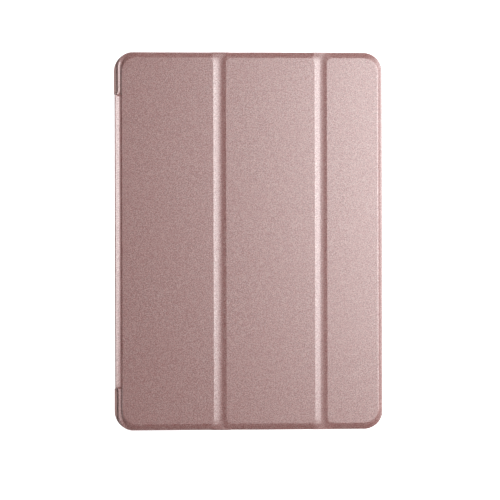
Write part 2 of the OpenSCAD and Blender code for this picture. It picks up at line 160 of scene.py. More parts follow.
# For each raised panel: left radius, right radius, left width and profile, right width and profile
PANEL_EDGES = [
    (OUTER_CORNER, INNER_CORNER, GROOVE_W, GROOVE_EDGE, CREASE_HALF + DEEPEST[0], FALL_1),
    (INNER_CORNER, INNER_CORNER, CREASE_HALF - DEEPEST[0], RISE_1, CREASE_HALF + DEEPEST[1], FALL_2),
    (INNER_CORNER, OUTER_CORNER, CREASE_HALF - DEEPEST[1], RISE_2, RIGHT_W, LINED_BORDER),
]


def outline_distance(x, y, x0, x1, half, r0, r1):
    """Distance outside a round-cornered rectangle, and whether it is measured across (1) or along (0)."""
    middle = (x0 + x1) / 2
    r = np.where(x < middle, r0, r1)
    qx = np.abs(x - middle) - (x1 - x0) / 2 + r
    qy = np.abs(y) - half + r
    ox, oy = np.maximum(qx, 0), np.maximum(qy, 0)
    outside = np.hypot(ox, oy)
    inside = np.minimum(np.maximum(qx, qy), 0)
    across = np.where(outside > 0, ox**2 / np.maximum(outside, 1e-12) ** 2, (qx > qy) * 1.0)
    return outside + inside - r, across


def left_edge(y):
    """The cover's left edge: the spine, stepping in to the corners beyond its ends."""
    step = smooth((np.abs(y) - SPINE_HALF + 0.5 * MM) / (3.2 * MM))
    return SPINE_X + (CORNER_LEFT_X - SPINE_X) * step


def beyond_spine(y):
    """0 along the spine, 1 beyond its ends, where the border is lower."""
    return smooth((np.abs(y) - SPINE_HALF + 0.8 * MM) / (1.3 * MM))


def border_height(x, y, at_corner):
    """Height of the cover where no board lifts it: groove, creases and ends."""
    groove = GROOVE_Z - CORNER_DROP * at_corner
    floor = groove + (BORDER_Z - groove) * smooth((x - GROOVE_END_X) / GROOVE_FADE_W)
    in_crease = sum(smooth(2 - np.abs(x - middle) / CREASE_HALF) for middle in CREASE_X)
    floor = floor + (CREASE_Z - floor) * in_crease
    at_end = smooth((np.abs(y) - RAISED_HALF) / END_W) * (1 - 0.7 * in_crease)
    return floor + np.minimum(END_Z - floor, 0) * at_end


def crest_height(x, y, inward, across, at_corner):
    """Rise of the left border towards the spine; flatter low down, fading in the corners' arcs."""
    width = CREST_W + (CORNER_CREST_W - CREST_W) * at_corner
    up = np.maximum(width - inward, 0)
    soft = 0.5 * MM
    up = np.where(up < soft, up**2 / (2 * soft), up - soft / 2)
    slope = CREST_SLOPE * (1 - 0.4 * smooth((20 * MM - y) / (140 * MM)))
    return slope * up * smooth((across - 0.75) / 0.23) * (x < 0)


def panel_height(x, y):
    """0 on the border, 1 on the raised panels."""
    raised = np.zeros_like(x)
    along = y - TOP_SHIFT * (y > 0)
    end_w = np.where(y > 0, END_W - TOP_SHIFT, END_W)
    for (x0, x1), (r0, r1, w0, edge0, w1, edge1) in zip(RAISED, PANEL_EDGES):
        d, across = outline_distance(x, along, x0, x1, RAISED_HALF, r0, r1)
        on_left = x < (x0 + x1) / 2
        t = d / (across * np.where(on_left, w0, w1) + (1 - across) * end_w)
        side = np.where(on_left, edge0(t), edge1(t))
        raised = np.maximum(raised, across * side + (1 - across) * END_EDGE(t))
    return raised


def cover_top(x, y):
    """Height of the closed cover's front."""
    x, y = np.broadcast_arrays(np.asarray(x, float), np.asarray(y, float))
    at_corner = beyond_spine(y)
    d, across = outline_distance(x, y, left_edge(y), COVER_RIGHT, COVER_HALF, LEFT_CORNER, RIGHT_CORNER)
    floor = border_height(x, y, at_corner) + crest_height(x, y, -d, across, at_corner)
    z = floor + (TOP_Z - floor) * panel_height(x, y)
    roll = EDGE_ROLL + (CORNER_ROLL - EDGE_ROLL) * at_corner * (x < 0)
    into = np.clip(roll + d, 0, roll)
    return z - (roll - np.sqrt(roll**2 - into**2))


# ---- Building meshes ----


def new_piece(name, verts, faces):
    mesh = bpy.data.meshes.new(name)
    mesh.from_pydata([tuple(v) for v in verts], [], faces)
    tidy = bmesh.new()
    tidy.from_mesh(mesh)
    bmesh.ops.remove_doubles(tidy, verts=tidy.verts, dist=1e-7)
    bmesh.ops.dissolve_degenerate(tidy, edges=tidy.edges, dist=1e-7)
    bmesh.ops.recalc_face_normals(tidy, faces=tidy.faces)
    tidy.to_mesh(mesh)
    tidy.free()
    piece = bpy.data.objects.new(name, mesh)
    bpy.context.scene.collection.objects.link(piece)
    shade(piece)
    return piece


def shade(piece):
    piece.data.shade_smooth()
    piece.data.set_sharp_from_angle(angle=SMOOTH_ANGLE)


def grid_faces(columns, rows, start, flip):
    """Quads over a grid of points, row after row."""
    faces = []
    for i in range(columns - 1):
        for j in range(rows - 1):
            a = start + i * rows + j
            b = a + rows
            quad = (a, b, b + 1, a + 1)
            faces.append(quad[::-1] if flip else quad)
    return faces


def sheet_solid(name, x, y, top, bottom):
    """A closed solid between two height fields over one grid of x and y."""
    columns, rows = x.shape
    count = columns * rows
    verts = [np.stack([x, y, z], -1).reshape(-1, 3) for z in (top, bottom)]
    faces = grid_faces(columns, rows, 0, False) + grid_faces(columns, rows, count, True)
    rim = [(i, 0) for i in range(columns - 1)]
    rim += [(columns - 1, j) for j in range(rows - 1)]
    rim += [(i, rows - 1) for i in range(columns - 1, 0, -1)]
    rim += [(0, j) for j in range(rows - 1, 0, -1)]
    ids = [i * rows + j for i, j in rim]
    for a, b in zip(ids, ids[1:] + ids[:1]):
        faces.append((b, a, a + count, b + count))
    return new_piece(name, np.concatenate(verts), faces)


def rounded(half_w, half_h, r, steps=12):
    """Points round a rectangle with round corners, anticlockwise."""
    points = []
    for k, (sx, sy) in enumerate([(1, 1), (-1, 1), (-1, -1), (1, -1)]):
        for i in range(steps + 1):
            a = math.pi / 2 * (k + i / steps)
            points.append(
                (sx * (half_w - r) + r * math.cos(a), sy * (half_h - r) + r * math.sin(a))
            )
    return points


def pill_points(length, width, steps=16):
    return rounded(length / 2, width / 2, width / 2 * 0.9999, steps)


def loft(name, rings, place=None):
    """A closed solid through rings of equal numbers of points, capped at its first and last ring."""
    count = len(rings[0])
    verts = [p for ring in rings for p in ring]
    faces = []
    for k in range(len(rings) - 1):
        for i in range(count):
            a, b = k * count + i, k * count + (i + 1) % count
            faces.append((a, b, b + count, a + count))
    faces.append(tuple(range(count))[::-1])
    faces.append(tuple(range((len(rings) - 1) * count, len(rings) * count)))
    if place is not None:
        verts = [place @ Vector(v) for v in verts]
    return new_piece(name, verts, faces)


def ring_loft(name, rings, place):
    """A closed ring-shaped solid: the last ring joins the first."""
    count = len(rings[0])
    verts = [p for ring in rings for p in ring]
    faces = []
    for k in range(len(rings)):
        for i in range(count):
            a, b = k * count, (k + 1) % len(rings) * count
            j = (i + 1) % count
            faces.append((a + i, a + j, b + j, b + i))
    return new_piece(name, [place @ Vector(v) for v in verts], faces)


def level(points, z):
    return [(px, py, z) for px, py in points]


def cut_away(piece, cutters):
    """Cuts solids out of a piece for good."""
    for cutter in cutters:
        change = piece.modifiers.new("cut", "BOOLEAN")
        change.operation = "DIFFERENCE"
        change.solver = "EXACT"
        change.object = cutter
        bpy.context.view_layer.objects.active = piece
        bpy.ops.object.modifier_apply(modifier=change.name)
        bpy.data.objects.remove(cutter)
    tidy = bmesh.new()
    tidy.from_mesh(piece.data)
    bmesh.ops.remove_doubles(tidy, verts=tidy.verts, dist=2e-6)
    bmesh.ops.dissolve_degenerate(tidy, edges=tidy.edges, dist=2e-6)
    tidy.to_mesh(piece.data)
    tidy.free()
    shade(piece)


# ---- Materials ----


class Nodes:
    """Short calls for building a material's nodes."""

    def __init__(self, name):
        self.material = bpy.data.materials.new(name)
        self.material.use_nodes = True
        self.tree = self.material.node_tree
        self.shader = self.tree.nodes["Principled BSDF"]
        self.coordinates = self.tree.nodes.new("ShaderNodeTexCoord").outputs["Object"]

    def set(self, **values):
        for name, value in values.items():
            self.shader.inputs[name.replace("_", " ").title().replace("Ior", "IOR")].default_value = value

    def add(self, kind, **values):
        made = self.tree.nodes.new(kind)
        for name, value in values.items():
            if hasattr(made, name):
                setattr(made, name, value)
            else:
                made.inputs[name.replace("_", " ").title()].default_value = value
        return made

    def link(self, a, b):
        self.tree.links.new(a, b)

    def noise(self, scale, detail, roughness):
        texture = self.add("ShaderNodeTexNoise", scale=scale, detail=detail, roughness=roughness)
        self.link(self.coordinates, texture.inputs["Vector"])
        return texture.outputs["Fac"]

    def cells(self, scale):
        texture = self.add("ShaderNodeTexVoronoi", scale=scale)
        self.link(self.coordinates, texture.inputs["Vector"])
        return texture.outputs["Distance"]

    def ramp(self, source, *stops):
        made = self.add("ShaderNodeValToRGB")
        points = made.color_ramp.elements
        while len(points) < len(stops):
            points.new(0.5)
        for point, (at, colour) in zip(points, stops):
            point.position = at
            point.color = (*colour, 1)
        self.link(source, made.inputs["Fac"])
        return made.outputs["Color"]

    def spread(self, source, low, high, a, b):
        """Maps source from low..high to a..b."""
        made = self.add("ShaderNodeMapRange")
        for name, value in (("From Min", low), ("From Max", high), ("To Min", a), ("To Max", b)):
            made.inputs[name].default_value = value
        self.link(source, made.inputs["Value"])
        return made.outputs["Result"]

    def math(self, operation, a, b=None):
        made = self.add("ShaderNodeMath")
        made.operation = operation
        for socket, value in zip(made.inputs, (a, b)):
            if value is None:
                continue
            if isinstance(value, (int, float)):
                socket.default_value = value
            else:
                self.link(value, socket)
        return made.outputs[0]

    def mix(self, factor, a, b):
        made = self.add("ShaderNodeMix")
        made.data_type = "RGBA"
        for socket, value in ((made.inputs[0], factor), (made.inputs[6], a), (made.inputs[7], b)):
            if isinstance(value, (int, float)):
                socket.default_value = value
            elif isinstance(value, tuple):
                socket.default_value = (*value, 1)
            else:
                self.link(value, socket)
        return made.outputs[2]

    def bump(self, *heights):
        """Bumps from (height, strength, distance in mm), one on the other."""
        normal = None
        for height, strength, depth in heights:
            made = self.add("ShaderNodeBump", strength=strength)
            made.inputs["Distance"].default_value = depth * MM
            self.link(height, made.inputs["Height"])
            if normal is not None:
                self.link(normal, made.inputs["Normal"])
            normal = made.outputs["Normal"]
        self.link(normal, self.shader.inputs["Normal"])


def leatherette():
    m = Nodes("leatherette")
    m.set(metallic=0.0, roughness=0.36, ior=2.45)
    speckle = m.noise(1800, 2, 0.6)
    cloud = m.noise(45, 3, 0.6)
    tint = m.noise(1100, 1, 0.5)
    pinks = ((0.28, 0.06, 0.05), (0.475, 0.2, 0.185), (0.7, 0.46, 0.44))
    greys = ((0.25, 0.07, 0.06), (0.445, 0.215, 0.2), (0.67, 0.48, 0.465))
    stops = (0.36, 0.5, 0.65)
    pink = m.ramp(speckle, *zip(stops, pinks))
    grey = m.ramp(speckle, *zip(stops, greys))
    colour = m.mix(m.spread(tint, 0.38, 0.62, 0, 1), pink, grey)
    clouded = m.mix(m.spread(cloud, 0.3, 0.7, 0, 0.25), colour, (0.475, 0.205, 0.19))
    m.link(clouded, m.shader.inputs["Base Color"])
    m.link(m.spread(speckle, 0.3, 0.7, 0.44, 0.38), m.shader.inputs["Roughness"])
    m.bump((m.cells(1700), 0.4, 0.04), (speckle, 0.5, 0.06))
    return m.material


def shell_plastic():
    m = Nodes("shell_plastic")
    m.set(metallic=0.15, roughness=0.35, specular_ior_level=0.9)
    speckle = m.noise(3000, 1, 0.5)
    colour = m.ramp(speckle, (0.35, (0.57, 0.34, 0.315)), (0.65, (0.65, 0.4, 0.37)))
    m.link(colour, m.shader.inputs["Base Color"])
    m.bump((m.noise(5200, 2, 0.6), 0.25, 0.02))
    return m.material


def suede():
    m = Nodes("suede")
    m.set(roughness=0.95, sheen_weight=0.6, sheen_roughness=0.45, specular_ior_level=0.2)
    nap = m.noise(160, 4, 0.65)
    fibre = m.noise(2600, 2, 0.6)
    colour = m.ramp(nap, (0.3, (0.36, 0.27, 0.25)), (0.7, (0.45, 0.345, 0.325)))
    fine = m.mix(m.spread(fibre, 0.35, 0.65, 0, 0.5), colour, (0.5, 0.39, 0.37))
    m.link(fine, m.shader.inputs["Base Color"])
    m.bump((nap, 0.25, 0.15), (fibre, 0.7, 0.12))
    return m.material


def screen_glass():
    """Black bezel round a slightly paler dark screen, under one sheet of gloss."""
    m = Nodes("screen_glass")
    m.set(roughness=0.06, coat_weight=1.0, coat_roughness=0.02, specular_ior_level=0.5)
    parts = m.add("ShaderNodeSeparateXYZ")
    m.link(m.coordinates, parts.inputs[0])
    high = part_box("display_panel")[1]
    lit = None
    for axis, half in (("X", high.x - 1.5 * MM), ("Y", high.y - 2 * MM)):
        away = m.math("ABSOLUTE", parts.outputs[axis])
        within = m.math("LESS_THAN", away, half)
        lit = within if lit is None else m.math("MULTIPLY", lit, within)
    m.link(m.mix(lit, (0.006, 0.006, 0.007), (0.014, 0.016, 0.02)), m.shader.inputs["Base Color"])
    m.link(m.spread(m.noise(30, 2, 0.5), 0.3, 0.7, 0.045, 0.08), m.shader.inputs["Roughness"])
    return m.material


def metal(name, colour, roughness, grain=2500, strength=0.2):
    m = Nodes(name)
    m.set(metallic=1.0)
    speckle = m.noise(grain, 2, 0.6)
    dark = tuple(c * 0.9 for c in colour)
    m.link(m.ramp(speckle, (0.3, dark), (0.7, colour)), m.shader.inputs["Base Color"])
    m.link(m.spread(speckle, 0.3, 0.7, roughness * 1.15, roughness * 0.85), m.shader.inputs["Roughness"])
    m.bump((speckle, strength, 0.02))
    return m.material


def plastic(name, colour, roughness, grain=1800, strength=0.15):
    m = Nodes(name)
    speckle = m.noise(grain, 2, 0.6)
    dark = tuple(c * 0.85 for c in colour)
    m.link(m.ramp(speckle, (0.3, dark), (0.7, colour)), m.shader.inputs["Base Color"])
    m.link(m.spread(speckle, 0.3, 0.7, roughness * 1.1, roughness * 0.9), m.shader.inputs["Roughness"])
    m.bump((speckle, strength, 0.02))
    return m.material


def lens_painted_reflections():
    """Dark glass with faint coloured rings centred on the rear camera, painted into its colour as reflections of
    the coating and the lens inside.
    """
    m = Nodes("lens_painted_reflections")
    m.set(roughness=0.03, coat_weight=1.0, coat_roughness=0.01)
    low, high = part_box("camera_lens_glass")
    centre = (low + high) / 2
    away = m.add("ShaderNodeVectorMath")
    away.operation = "DISTANCE"
    m.link(m.coordinates, away.inputs[0])
    away.inputs[1].default_value = centre
    rings = m.spread(away.outputs["Value"], 0, (high.x - low.x) / 2, 0, 1)
    # The coloured rings are painted reflections, not the glass's own colour
    colour = m.ramp(
        rings, (0, (0.004, 0.004, 0.006)), (0.3, (0.01, 0.008, 0.03)), (0.42, (0.05, 0.02, 0.07)),
        (0.5, (0.005, 0.02, 0.03)), (0.75, (0.012, 0.012, 0.014)), (1, (0.002, 0.002, 0.002)),
    )
    m.link(colour, m.shader.inputs["Base Color"])
    return m.material


MATERIALS = {
    "leatherette": leatherette(),
    "shell_plastic": shell_plastic(),
    "suede": suede(),
    "front_glass": screen_glass(),
    "lens_glass": lens_painted_reflections(),
    "housing_metal": metal("housing_metal", (0.72, 0.73, 0.745), 0.34),
    "tin_plate": metal("tin_plate", (0.6, 0.6, 0.61), 0.35),
    "steel": metal("steel", (0.5, 0.5, 0.52), 0.32),
    "grille": metal("grille", (0.12, 0.12, 0.125), 0.5),
    "magnet": metal("magnet", (0.62, 0.62, 0.64), 0.25),
    "battery_foil": metal("battery_foil", (0.1, 0.1, 0.105), 0.45),
    "seal": plastic("seal", (0.02, 0.02, 0.02), 0.7),
    "display_cell": plastic("display_cell", (0.02, 0.022, 0.03), 0.15),
    "backlight": plastic("backlight", (0.8, 0.8, 0.78), 0.5),
    "circuit_board": plastic("circuit_board", (0.015, 0.12, 0.06), 0.45),
    "chip_black": plastic("chip_black", (0.02, 0.02, 0.022), 0.5),
    "part_plastic": plastic("part_plastic", (0.05, 0.05, 0.055), 0.55),
    "ribbon": plastic("ribbon", (0.5, 0.25, 0.05), 0.4),
    "home_key": plastic("home_key", (0.012, 0.012, 0.014), 0.12, 600, 0.02),
    "grey_board": plastic("grey_board", (0.45, 0.45, 0.43), 0.9, 900, 0.4),
}


def finish_piece(piece, slot, *nodes):
    piece.data.materials.append(MATERIALS[slot])
    if nodes:
        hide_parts(*nodes)
    return piece


def ride(piece, body, slot, *nodes):
    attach(finish_piece(piece, slot, *nodes), body)
    return piece


def bend(piece, a, b, start, end, slot, *nodes):
    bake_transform(finish_piece(piece, slot, *nodes))
    return piece


# ---- The folio's panels and creases ----


def spaced(points):
    """Lines through [place, spacing, place, spacing, ... place], in mm, each stretch evenly divided."""
    lines = []
    for a, step, b in zip(points[0::2], points[1::2], points[2::2]):
        n = max(1, round(abs(b - a) / step))
        lines += [a + (b - a) * i / n for i in range(n)]
    return np.array(lines + [points[-1]]) * MM


END_START = COVER_HALF - RIGHT_CORNER


def half_rows():
    """Lines across the upper half: sparse, dense where the spine ends and through the corners."""
    end, raised, start, spine = (v / MM for v in (COVER_HALF, RAISED_HALF, END_START, SPINE_HALF))
    over_spine_end = [0, 6, spine - 2, 0.35, spine + 4, 2.5]
    over_corner = [107, 0.5, start, 0.3, raised - 0.5, 0.12, raised + 0.9, 0.22, end - 0.5, 0.1, end]
    return spaced(over_spine_end + over_corner)


ROWS = np.concatenate([-half_rows()[:0:-1], half_rows()])


def end_of(x):
    """How far the cover reaches along Y at x."""
    right = np.clip(x - (COVER_RIGHT - RIGHT_CORNER), 0, RIGHT_CORNER)
    left = np.clip(CORNER_LEFT_X + LEFT_CORNER - x, 0, LEFT_CORNER)
    drop = RIGHT_CORNER - np.sqrt(RIGHT_CORNER**2 - right**2)
    return COVER_HALF - drop - (LEFT_CORNER - np.sqrt(LEFT_CORNER**2 - left**2))


def cover_grid(columns, inset=0.0):
    """x and y over columns of the cover, with its rounded corners and the step at the spine's ends."""
    x, nominal = np.meshgrid(columns, ROWS, indexing="ij")
    x, nominal = x.copy(), nominal.copy()
    squeeze_from = RAISED[0][0] + 3 * MM
    if columns[0] < squeeze_from:
        edge = np.maximum(left_edge(nominal), FOLD_CUT_X) + inset * (np.abs(nominal) > SPINE_HALF)
        share = (squeeze_from - edge) / (squeeze_from - columns[0])
        x = np.where(x < squeeze_from, squeeze_from + (x - squeeze_from) * share, x)
    reach = end_of(np.clip(x, CORNER_LEFT_X, COVER_RIGHT)) - inset
    beyond = np.clip((np.abs(nominal) - END_START) / (COVER_HALF - END_START), 0, 1)
    y = np.where(np.abs(nominal) > END_START, END_START + beyond * (reach - END_START), np.abs(nominal))
    return x, np.sign(nominal) * y


def right_columns():
    x1 = RAISED[2][1] / MM
    right = COVER_RIGHT / MM
    corner = RIGHT_CORNER / MM
    arc = [right - corner + corner * math.sin(math.radians(a)) for a in range(0, 90, 3)]
    fine = [x1 - 0.5 + 0.13 * i for i in range(26)]
    edge = [right - d for d in (0.5, 0.38, 0.27, 0.17, 0.09, 0.03, 0.005)]
    lines = sorted([a for a in arc if a < x1 - 0.5] + [f for f in fine if f < right - 0.55] + edge)
    return lines + [right]


def panel_columns(n):
    """Lines across a panel's rigid piece, from just inside one crease to just inside the next."""
    x0, x1 = RAISED[n][0] / MM, RAISED[n][1] / MM
    inset = CUT_INSET / MM
    if n == 0:
        cut = FOLD_CUT_X / MM
        left = list(spaced([cut, 0.14, x0 + 0.6, 0.35, x0 + 12, 5, x1 - 6]) / MM)
        return np.array(left[:-1] + list(spaced([x1 - 6, 0.3, x1 - inset]) / MM)) * MM
    if n == 1:
        return spaced([x0 + inset, 0.3, x0 + 5, 5, x1 - 5, 0.3, x1 - inset])
    right = right_columns()
    left = spaced([x0 + inset, 0.3, x0 + 5, 4, right[0]]) / MM
    return np.array(list(left[:-1]) + right) * MM


def crease_columns(n, half):
    """Lines across one half of a crease."""
    x0, x1 = RAISED[n][1] / MM, RAISED[n + 1][0] / MM
    middle, inset = CREASE_X[n] / MM, CUT_INSET / MM
    if half == 0:
        return spaced([x0 - inset, 0.1, x0 + 0.7, 0.22, middle])
    return spaced([middle, 0.22, x1 - 0.7, 0.1, x1 + inset])


def skin_piece(name, columns):
    """The leatherette over some columns of the cover; it wraps down round the cover's edge."""
    x, y = cover_grid(columns)
    top = cover_top(x, y)
    under = np.maximum(top - SKIN_T, SKIN_Z)
    return sheet_solid(name, x, y, top, np.minimum(under, top - 0.08 * MM))


LINING_INSET = 0.45 * MM


def lining_piece(name, columns):
    """Suede, with the edges of the boards showing through as faint dents."""
    if columns[-1] > COVER_RIGHT - MM:
        columns = np.unique(np.minimum(columns, COVER_RIGHT - LINING_INSET))
    x, y = cover_grid(columns, LINING_INSET)
    dent = np.zeros_like(x)
    for (x0, x1), (r0, r1, *_) in zip(RAISED, PANEL_EDGES):
        d, _ = outline_distance(x, y, x0 + 0.6 * MM, x1 - 0.6 * MM, RAISED_HALF - 0.6 * MM, r0, r1)
        dent = np.maximum(dent, np.exp(-((d / (0.45 * MM)) ** 2)))
    outer, _ = outline_distance(x, y, CORNER_LEFT_X, COVER_RIGHT, COVER_HALF, LEFT_CORNER, RIGHT_CORNER)
    lift = 0.12 * MM * smooth((outer + 0.9 * MM) / (0.45 * MM))
    under = LINING_Z + 0.1 * MM * np.clip(dent, 0, 1) + lift
    return sheet_solid(name, x, y, np.full_like(x, SKIN_Z), under)


# How far each crease's span reaches to either side of its joint
BEND = 1.7 * MM


def panel(n):
    body = f"panel_{n + 1}"
    columns = panel_columns(n)
    ride(skin_piece(f"{body}_leatherette", columns), body, "leatherette", f"{body}_skin")
    ride(lining_piece(f"{body}_suede", columns), body, "suede", f"{body}_lining")


def crease(n):
    """Both halves of a crease, between the strip's body and the panel beside it: leatherette over suede."""
    web = f"crease_{n + 1}"
    sides = ((f"panel_{n + 1}", web, f"{web}_near"), (web, f"panel_{n + 2}", f"{web}_far"))
    for half, (a, b, joint) in enumerate(sides):
        at = joint_at[joint]
        start, end = (at.x - BEND, 0, at.z), (at.x + BEND, 0, at.z)
        columns = crease_columns(n, half)
        skin = skin_piece(f"{joint}_leatherette", columns)
        bend(skin, a, b, start, end, "leatherette", *([f"{web}_web"] if half == 0 else []))
        bend(lining_piece(f"{joint}_suede", columns), a, b, start, end, "suede")


for panel_number in range(3):
    panel(panel_number)
for crease_number in range(2):
    crease(crease_number)


# ---- The spine ----


def ribbon(name, path, thickness, half, roll=0.22 * MM):
    """A strip along Y whose outer face follows a path in x and z, with its inside on the left."""
    path = np.array(path, float)
    along = np.gradient(path, axis=0)
    along /= np.linalg.norm(along, axis=1)[:, None]
    inward = np.stack([-along[:, 1], along[:, 0]], 1)
    ends = [half - d * MM for d in (0, 0.04, 0.12, 0.25)]
    rows = [-e for e in ends] + list(np.linspace(-half + 4 * MM, half - 4 * MM, 31)) + ends[::-1]
    sections = []
    for y in rows:
        away = min(half - abs(y), roll)
        drop = roll - math.sqrt(max(roll**2 - (roll - away) ** 2, 0))
        outer = path + inward * drop
        inner = path + inward * thickness
        sections.append([(px, y, pz) for px, pz in np.concatenate([outer, inner[::-1]])])
    return loft(name, sections)


def arc_points(centre, r, start, end, steps):
    """Points round a centre in x and z; angles in degrees from +x towards +z."""
    angles = np.radians(np.linspace(start, end, steps + 1))
    return [(centre[0] + r * math.cos(a), centre[1] + r * math.sin(a)) for a in angles]


def line_points(a, b, steps):
    """Points from a to b, without a itself."""
    return [tuple(np.array(a) + (np.array(b) - np.array(a)) * i / steps) for i in range(1, steps + 1)]


def straight_path(a, b, steps):
    return [a] + line_points(a, b, steps)


SPINE_SKIN_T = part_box("spine_skin")[1].x - SPINE_X
SPINE_LINING_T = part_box("spine_lining")[1].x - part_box("spine_lining")[0].x
FRONT_SPLIT_Z = 6.8 * MM
BACK_SPLIT_Z = 2.0 * MM
FLAP_SPLIT_X = FOLD_CUT_X + 0.4 * MM
CREST_R = 0.55 * MM
BACK_R = 0.85 * MM
FLAP_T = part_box("spine_flap")[1].z
FLAP_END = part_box("spine_flap")[1].x


def front_fold_path():
    """Up the spine, over the crest, and down to where the first panel takes over."""
    finish_z = float(cover_top(FOLD_CUT_X, 0.0))
    lean = math.degrees(math.atan(CREST_SLOPE))
    centre = (SPINE_X + CREST_R, finish_z + CREST_SLOPE * (FOLD_CUT_X - SPINE_X - CREST_R) - CREST_R)
    path = straight_path((SPINE_X, FRONT_SPLIT_Z), (SPINE_X, centre[1]), 8)
    path += arc_points(centre, CREST_R, 180, 90 - lean, 10)[1:]
    return path + line_points(path[-1], (FOLD_CUT_X, finish_z), 6)


def offset_path(path, distance):
    path = np.array(path, float)
    along = np.gradient(path, axis=0)
    along /= np.linalg.norm(along, axis=1)[:, None]
    return path + np.stack([along[:, 1], -along[:, 0]], 1) * distance


def back_fold_path():
    """From the flap on the back, round the fold, and up to the spine."""
    centre = (SPINE_X + BACK_R, BACK_R)
    path = straight_path((FLAP_SPLIT_X, 0.0), (centre[0], 0.0), 4)
    path += arc_points(centre, BACK_R, 270, 180, 12)[1:]
    return path + line_points(path[-1], (SPINE_X, BACK_SPLIT_Z), 4)


def span_at(joint, start, end):
    """Start and end of a bend, each given in mm from the joint in x and z."""
    at = joint_at[joint]
    return [(at.x + x * MM, 0, at.z + z * MM) for x, z in (start, end)]


front_span = span_at("spine_front_fold", (0.05, -0.6), (1.2, 0.145))
back_span = span_at("spine_back_fold", (0.85, -0.6), (-0.55, 0.85))

# The paths run up the spine with the inside of the cover on their right; ribbon() needs it on the left
front_path = front_fold_path()[::-1]
strip_path = straight_path((SPINE_X, BACK_SPLIT_Z), (SPINE_X, FRONT_SPLIT_Z), 8)[::-1]
back_path = back_fold_path()[::-1]
flap_path = straight_path((FLAP_END, 0.0), (FLAP_SPLIT_X, 0.0), 12)[::-1]


def inner_of(path):
    """A path for the lining, on the inner face of the skin."""
    return offset_path(path, -SPINE_SKIN_T)


piece = ribbon("front_fold_leatherette", front_path, SPINE_SKIN_T, SPINE_HALF)
bend(piece, "spine", "panel_1", *front_span, "leatherette", "spine_front_fold")
piece = ribbon("front_fold_suede", inner_of(front_path), SPINE_LINING_T, SPINE_HALF - 0.2 * MM)
bend(piece, "spine", "panel_1", *front_span, "suede")
piece = ribbon("spine_leatherette", strip_path, SPINE_SKIN_T, SPINE_HALF)
ride(piece, "spine", "leatherette", "spine_skin")
piece = ribbon("spine_suede", inner_of(strip_path), SPINE_LINING_T, SPINE_HALF - 0.2 * MM)
ride(piece, "spine", "suede", "spine_lining")
piece = ribbon("back_fold_leatherette", back_path, SPINE_SKIN_T, SPINE_HALF)
bend(piece, "tablet", "spine", *back_span, "leatherette", "spine_back_fold")
piece = ribbon("flap_leatherette", flap_path, FLAP_T, SPINE_HALF)
ride(piece, "tablet", "leatherette", "spine_flap")


# ---- The back cover ----

SHELL_LOW, SHELL_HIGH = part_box("back_shell")
SHELL_R = 12.4 * MM
SHELL_EDGE = 4.2 * MM
RIM_Z = SHELL_HIGH.z
HOUSING_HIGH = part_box("rear_housing")[1]
GLASS_LOW, GLASS_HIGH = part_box("cover_glass")
BASE_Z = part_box("rear_housing")[0].z
WALL = SHELL_HIGH.x - HOUSING_HIGH.x - 0.1 * MM
LIP = WALL + 0.55 * MM
INNER_EDGE = 3.6 * MM
RIM_R = 0.55 * MM
RIM_LEAN = 0.08 * MM


def shell_ring(inset, z):
    r = max(SHELL_R - inset, 0.4 * MM)
    return level(rounded(SHELL_HIGH.x - inset, SHELL_HIGH.y - inset, r, 14), z)


def back_shell():
    """Up the outside from the flat back, over the rim and its lip, and down the inside."""
    rings = [shell_ring(SHELL_EDGE + 0.5 * MM, 0)]
    for i in range(11):
        a = math.pi / 2 * i / 10
        rings.append(shell_ring(SHELL_EDGE * (1 - math.sin(a)), SHELL_EDGE * (1 - math.cos(a))))
    for i in range(1, 8):
        a = math.pi / 2 * i / 7
        rings.append(shell_ring(RIM_R * (1 - math.cos(a)), RIM_Z + RIM_LEAN - RIM_R * (1 - math.sin(a))))
    lip_r = 0.2 * MM
    for i in range(4):
        a = math.pi / 2 * i / 3
        rings.append(shell_ring(LIP - lip_r * (1 - math.sin(a)), RIM_Z - lip_r * (1 - math.cos(a))))
    under = HOUSING_HIGH.z + 0.1 * MM
    rings.append(shell_ring(LIP, under))
    rings.append(shell_ring(WALL, under))
    for i in range(9):
        a = math.pi / 2 * i / 8
        rings.append(
            shell_ring(WALL + INNER_EDGE * (1 - math.cos(a)), BASE_Z + INNER_EDGE * (1 - math.sin(a)))
        )
    return loft("back_cover", rings)


def block(name, low, high):
    verts = [(x, y, z) for x in (low[0], high[0]) for y in (low[1], high[1]) for z in (low[2], high[2])]
    faces = [(0, 1, 3, 2), (4, 6, 7, 5), (0, 4, 5, 1), (2, 3, 7, 6), (0, 2, 6, 4), (1, 5, 7, 3)]
    return new_piece(name, verts, faces)


def prism(name, points, low, high, place):
    return loft(name, [level(points, low), level(points, high)], place)


def facing(x, y, z, towards):
    """Turns a shape drawn in x and y, with z its depth, to face along an axis at a place."""
    turn = {
        "+Y": Matrix(((1, 0, 0), (0, 0, 1), (0, 1, 0))),
        "-Y": Matrix(((1, 0, 0), (0, 0, -1), (0, 1, 0))),
        "+X": Matrix(((0, 0, 1), (1, 0, 0), (0, 1, 0))),
        "-Z": Matrix(((1, 0, 0), (0, -1, 0), (0, 0, -1))),
        "+Z": Matrix.Identity(3),
    }[towards]
    return Matrix.Translation((x, y, z)) @ turn.to_4x4()


def middle_of(node):
    low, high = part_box(node)
    return (low + high) / 2


PORT = middle_of("charge_port")
SPEAKER_X = middle_of("speaker_right").x
JACK = middle_of("audio_jack")
CAMERA = middle_of("camera_lens_ring")
POWER = middle_of("power_button")
HOME = middle_of("home_button")
VOLUME = (middle_of("volume_up_button") + middle_of("volume_down_button")) / 2
VOLUME_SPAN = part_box("volume_up_button")[1].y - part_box("volume_down_button")[0].y
SPINE_GAP = SPINE_HALF + 0.6 * MM
# How far right the back cover is cut away beside the spine, and further under its lip
SPINE_CUT_X = SPINE_X + 1.4 * MM
LIP_CUT_X = SPINE_X + 1.85 * MM
LIP_CUT_Z = 4.2 * MM
ABOVE_COVER_Z = 20 * MM


